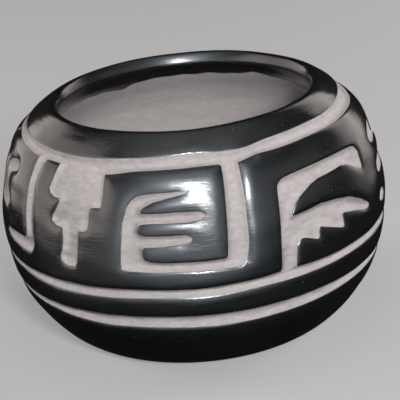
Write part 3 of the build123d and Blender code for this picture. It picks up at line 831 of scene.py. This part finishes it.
# ---------------------------------------------------------------- slip coats
groove_mid = [35.6, 47.5, 96.0]
for name, low, high in (
    ("polished_underbody", -10.0, groove_mid[0]),
    ("polished_middle_band", groove_mid[0], groove_mid[1]),
    ("polished_frieze", groove_mid[1], groove_mid[2]),
    ("polished_rim_band", groove_mid[2], 500.0),
):
    m = (centre_md > 1e-6) & (centre_run > low) & (centre_run < high)
    ids, tri = part_of_sheet(m)
    piece = Piece()
    piece.add(OUT[ids], NOR[ids], tri, None, edge=MD[ids], carve=CD[ids])
    under = OUT[ids].copy()
    inner_side = MD[ids] > 0.02
    e, times = np.unique(np.sort(np.concatenate([tri[:, [0, 1]], tri[:, [1, 2]], tri[:, [2, 0]]]), 1), axis=0, return_counts=True)
    rim = np.unique(e[times == 1])
    inner_side[rim[MD[ids][rim] < 0.1]] = False  # both faces meet along the slip's edge
    under[inner_side] = UNDER[ids][inner_side] + NOR[ids][inner_side] * 0.004
    piece.add(under, NOR[ids], tri, -NOR[ids][tri].mean(1), edge=MD[ids], carve=CD[ids])
    piece.build(name + "_slip", name, [slip_material])

# ================================================================ stage
def plane(name, size, z, colour, glow):
    me = bpy.data.meshes.new(name)
    s = size / 2
    me.from_pydata([(-s, -s, z), (s, -s, z), (s, s, z), (-s, s, z)], [], [(0, 1, 2, 3)])
    ob = bpy.data.objects.new(name, me)
    bpy.context.scene.collection.objects.link(ob)
    m, nt, bsdf = material(name + "_paint")
    bsdf.inputs["Base Color"].default_value = colour
    bsdf.inputs["Roughness"].default_value = 0.8
    bsdf.inputs["Specular IOR Level"].default_value = 0.1
    bsdf.inputs["Emission Color"].default_value = (0.93, 0.92, 0.91, 1)
    bsdf.inputs["Emission Strength"].default_value = glow
    m.cycles.emission_sampling = "NONE"
    me.materials.append(m)
    return ob


floor = plane("floor", 8.0, -0.0002, (0.17, 0.168, 0.166, 1), 0.27)
floor.visible_glossy = False
floor.visible_diffuse = False


def backdrop(radius_m, height_m, glow):
    """A plain pale wall far behind the floor, which only the camera sees."""
    a = np.radians(np.arange(0, 360, 5.0))
    n = len(a)
    co = [(radius_m * math.sin(x), radius_m * math.cos(x), z) for z in (-0.0002, height_m) for x in a]
    me = bpy.data.meshes.new("backdrop")
    me.from_pydata(co, [], [(i, (i + 1) % n, n + (i + 1) % n, n + i) for i in range(n)])
    ob = bpy.data.objects.new("backdrop", me)
    bpy.context.scene.collection.objects.link(ob)
    m, nt, bsdf = material("backdrop_paint")
    bsdf.inputs["Base Color"].default_value = (0.0, 0.0, 0.0, 1)
    bsdf.inputs["Specular IOR Level"].default_value = 0.0
    bsdf.inputs["Emission Color"].default_value = (0.93, 0.92, 0.91, 1)
    bsdf.inputs["Emission Strength"].default_value = glow
    m.cycles.emission_sampling = "NONE"
    me.materials.append(m)
    ob.visible_diffuse = ob.visible_glossy = ob.visible_transmission = ob.visible_shadow = ob.visible_volume_scatter = False


backdrop(3.9, 4.0, 0.28)

world = bpy.data.worlds.new("studio")
bpy.context.scene.world = world
world.use_nodes = True
bg = world.node_tree.nodes["Background"]
bg.inputs[0].default_value = (0.93, 0.97, 1.0, 1)
bg.inputs[1].default_value = 0.006


def surround_glow(az, el):
    """What the polish mirrors: a round soft flash in front, two pale walls, a dim ceiling, and dark elsewhere."""
    a, e = np.radians(az), np.radians(el)
    a0, e0 = math.radians(0.5), math.radians(26.5)
    c = np.sin(e) * math.sin(e0) + np.cos(e) * math.cos(e0) * np.cos(a - a0)
    th = np.degrees(np.arccos(np.clip(c, -1, 1)))
    side = np.degrees(np.arcsin(np.sin(a) * np.cos(e)))
    rise = np.degrees(np.arctan2(np.sin(e), np.cos(a) * np.cos(e)))
    rise = np.where(rise < -90, rise + 360, rise)
    out = (23.0 * np.exp(-(((side - 1.0) / 7.3) ** 2) - ((rise - 24.5) / 9.3) ** 2))[..., None] * np.array((1.0, 0.995, 1.0))
    out = out + (9.0 * np.exp(-(((side - 2.0 - 0.3 * np.clip(22.0 - rise, 0, 20)) / 6.5) ** 2) - ((rise - 10.0) / np.where(rise < 10.0, 7.5, 10.0)) ** 2))[..., None] * np.array((0.88, 0.95, 1.0))
    out = out + (6.5 * np.exp(-(((side + 2.0) / np.where(side > -2.0, 15.0, 18.0)) ** 2) - ((rise - 27.0) / 14.0) ** 2))[..., None] * np.array((0.82, 0.92, 1.0))
    out = out + (3.7 * np.exp(-(((side + 3.0) / 22.0) ** 2) - ((rise - 43.0) / 35.0) ** 2))[..., None] * np.array((0.79, 0.91, 1.0))
    out = out + (0.66 * np.exp(-((th / 62.0) ** 2)))[..., None] * np.array((0.80, 0.91, 1.0))
    out = out + (1.5 * np.exp(-(((az + 22) / 12) ** 2) - ((el - 3) / 13) ** 2) + 1.3 * np.exp(-(((az - 27) / 9) ** 2) - ((el - 12) / 13) ** 2))[..., None] * np.array((0.84, 0.93, 1.0))
    out = out + (0.4 * np.exp(-(((az + 46) / 14) ** 2) - ((el - 16) / 16) ** 2))[..., None] * np.array((0.95, 0.97, 1.0))
    top = np.interp(az, [-150, -140, -132, -124, -116, -106, -97, -86, -75, -64, -54, -44], [34, 37, 41, 48, 54, 55, 51, 47, 41, 31, 26, 20])
    low = np.interp(az, [-148, -140, -132, -122, -108, -92, -84, -76, -68, -60, -48, -42], [-8, -10.5, -10.5, -7, -8, -8, -6.5, -3.5, -1.5, 1, 5, 7])
    edge = np.interp(el, [-12, -4, 2, 7, 12, 20, 28, 36, 41, 46], [-136, -141.5, -144.5, -147.5, -149.5, -152.5, -151.5, -146.5, -140, -130])
    soft, over = np.interp(az, [-140, -122, -100], [3, 6, 8]), np.interp(az, [-130, -116], [3, 13])
    left = smooth(edge - 1.2, edge + 1.2, az) * (1 - smooth(-56, -36, az)) * smooth(low - 2, low + 2, el) * (1 - smooth(top - soft, top + over, el))
    strength = 1.85 + 1.15 * np.exp(-(((az + 74) / 22) ** 2)) - 0.3 * smooth(20, 34, el)
    out = out + (left * strength)[..., None] * np.array((1.0, 0.90, 0.86))
    top = np.interp(az, [98, 104, 112, 120, 128, 136, 144, 152], [14, 18, 26, 31, 35, 39, 43, 45])
    low = np.interp(az, [98, 112, 120, 128, 136], [-6, -8, -9, -10, -8])
    edge = np.interp(el, [-12, -4, 4, 9, 14, 20, 28, 36], [131, 136.5, 137.2, 139, 142.5, 147.5, 149.5, 152])
    right = (1 - smooth(edge - 1.2, edge + 1.2, az)) * smooth(low - 2, low + 2, el) * (1 - smooth(top - 10, top + 6, el))
    strength = np.interp(az, [94, 104, 112, 120, 128, 136, 152], [0.0, 0.35, 0.95, 1.6, 2.15, 2.45, 2.6])
    out = out + (right * strength)[..., None] * np.array((1.0, 0.92, 0.89))
    dim = smooth(26, 40, az) * (1 - smooth(70, 110, az)) * smooth(-12, -1, el) * (1 - smooth(28, 42, el))
    out = out + (0.42 * dim)[..., None] * np.array((1.0, 0.96, 0.94))
    out = out + (0.40 * smooth(48, 74, el))[..., None] * np.array((1.0, 0.96, 0.90))
    out = out + (0.6 * smooth(-42, -14, el) * (1 - smooth(0, 25, el)) * (1 - smooth(26, 62, np.abs(az + 9))))[..., None] * np.array((0.86, 0.94, 1.0))
    out = out + (1.6 * np.exp(-(((az + 1) / 22) ** 2)) * smooth(-38, -20, el) * (1 - smooth(-17, -3, el)))[..., None] * np.array((0.84, 0.93, 1.0))
    out = out + (0.38 * smooth(-42, -14, el) * (1 - smooth(0, 20, el)) * (1 - smooth(-36, -12, az)) * smooth(-120, -72, az))[..., None] * np.array((1.0, 0.93, 0.84))
    return out + 0.01


def surround(radius_m):
    """A dome round the jar that only the polish sees."""
    az, el = np.arange(-180.0, 180.0, 1.5), np.linspace(-88.5, 88.5, 119)
    A, E = [g.ravel() for g in np.meshgrid(az, el)]
    a, e = np.radians(A), np.radians(E)
    co = radius_m * np.stack([np.sin(a) * np.cos(e), -np.cos(a) * np.cos(e), np.sin(e)], -1) + (0, 0, 0.06)
    n = len(az)
    i, j = [g.ravel() for g in np.meshgrid(np.arange(n), np.arange(len(el) - 1))]
    p, q = j * n + i, j * n + (i + 1) % n
    me = bpy.data.meshes.new("studio_surround")
    me.from_pydata(co.tolist(), [], np.stack([p, q, q + n, p + n], 1).tolist())
    glow = me.attributes.new("glow", "FLOAT_COLOR", "POINT")
    glow.data.foreach_set("color", np.concatenate([surround_glow(A, E), np.ones((len(A), 1))], 1).astype(np.float32).ravel())
    m = bpy.data.materials.new("surround_glow")
    m.use_nodes = True
    nt = m.node_tree
    for x in list(nt.nodes):
        if x.type != "OUTPUT_MATERIAL":
            nt.nodes.remove(x)
    emit = nt.nodes.new("ShaderNodeEmission")
    colour = nt.nodes.new("ShaderNodeAttribute")
    colour.attribute_name = "glow"
    nt.links.new(colour.outputs["Color"], emit.inputs["Color"])
    nt.links.new(emit.outputs[0], next(x for x in nt.nodes if x.type == "OUTPUT_MATERIAL").inputs[0])
    m.cycles.emission_sampling = "NONE"
    me.materials.append(m)
    ob = bpy.data.objects.new("studio_surround", me)
    bpy.context.scene.collection.objects.link(ob)
    ob.visible_camera = ob.visible_diffuse = ob.visible_transmission = ob.visible_shadow = ob.visible_volume_scatter = False


surround(1.6)


def softbox(name, azimuth, elevation, distance, size, glow, colour, diffuse=True, glossy=True, lift=0.06, shape="RECTANGLE"):
    """A rectangular soft light that faces the jar. glow is how bright its face is."""
    ld = bpy.data.lights.new(name, "AREA")
    ld.shape = shape
    ld.size, ld.size_y = size
    ld.energy = glow * math.pi * size[0] * size[1] * (math.pi / 4 if shape == "ELLIPSE" else 1.0)
    ld.color = colour
    ob = bpy.data.objects.new(name, ld)
    bpy.context.scene.collection.objects.link(ob)
    a, e = math.radians(azimuth), math.radians(elevation)
    d = Vector((math.sin(a) * math.cos(e), -math.cos(a) * math.cos(e), math.sin(e)))
    ob.matrix_world = Matrix.Translation(d * distance + Vector((0, 0, lift))) @ (-d).to_track_quat("-Z", "Y").to_matrix().to_4x4()
    ob.visible_diffuse, ob.visible_glossy, ob.visible_camera = diffuse, glossy, False
    return ob


softbox("key", 9.0, 25.0, 0.66, (0.11, 0.11), 221.0, (1.0, 0.995, 1.0), glossy=False, shape="ELLIPSE")
softbox("key_spark", 0.5, 25.0, 0.66, (0.05, 0.05), 560.0, (1.0, 0.995, 0.99), diffuse=False, shape="ELLIPSE")
softbox("overhead", 0.0, 86.0, 0.8, (0.4, 0.4), 3.0, (1.0, 0.99, 0.985), glossy=False)
softbox("left_side", -113.0, 13.0, 0.95, (0.5, 0.34), 18.0, (1.0, 0.975, 0.985), glossy=False)
softbox("right_side", 113.0, 13.0, 0.95, (0.5, 0.34), 21.5, (1.0, 0.975, 0.985), glossy=False)

bpy.context.scene.view_settings.view_transform = "Standard"

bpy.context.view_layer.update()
